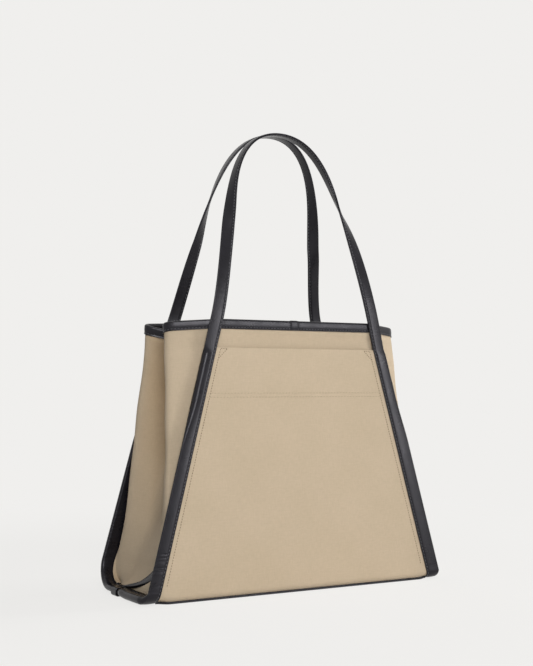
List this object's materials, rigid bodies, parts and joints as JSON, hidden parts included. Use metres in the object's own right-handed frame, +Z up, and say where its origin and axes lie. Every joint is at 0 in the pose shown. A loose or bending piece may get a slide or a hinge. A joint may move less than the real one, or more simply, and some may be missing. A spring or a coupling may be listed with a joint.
{
  "type": "tote bag",
  "caption": "Trapeze canvas tote bag with bellows gussets, a front slip pocket and leather straps that bind its edges and run on as swinging handles.",
  "frame": {"origin": "on the floor, under the middle of the bag", "axes": "+Z up, -Y to the front, where the pocket is, +X to the right of someone who faces the pocket"},
  "size_m": [0.426, 0.149, 0.5726],
  "materials": {
    "canvas": "matt sand-coloured cotton canvas with a fine plain weave",
    "leather": "smooth black leather with a soft sheen and tone-on-tone stitching",
    "board": "plain pressed fibreboard"
  },
  "bodies": {
    "bag": {"front_panel": "canvas", "front_pocket": "canvas", "back_panel": "canvas", "base_panel": "canvas", "floor_lining": "canvas", "left_gusset": "canvas", "right_gusset": "canvas", "left_base_gore": "canvas", "right_base_gore": "canvas", "front_left_strap": "leather", "front_right_strap": "leather", "back_left_strap": "leather", "back_right_strap": "leather", "rim_binding": "leather", "left_gusset_hem": "leather", "right_gusset_hem": "leather", "left_keeper": "leather", "right_keeper": "leather", "front_bottom_piping": "leather", "back_bottom_piping": "leather", "base_board": "board"},
    "front_handle": {"front_handle": "leather"},
    "back_handle": {"back_handle": "leather"}
  },
  "joints": [
    {"name": "front_handle_swing", "type": "hinge", "parent": "bag", "child": "front_handle", "pos_m": [0, -0.0653, 0.29715], "axis": [1, 0, 0], "range_deg": [0, 165]},
    {"name": "back_handle_swing", "type": "hinge", "parent": "bag", "child": "back_handle", "pos_m": [0, 0.0653, 0.29715], "axis": [-1, 0, 0], "range_deg": [0, 165]}
  ]
}
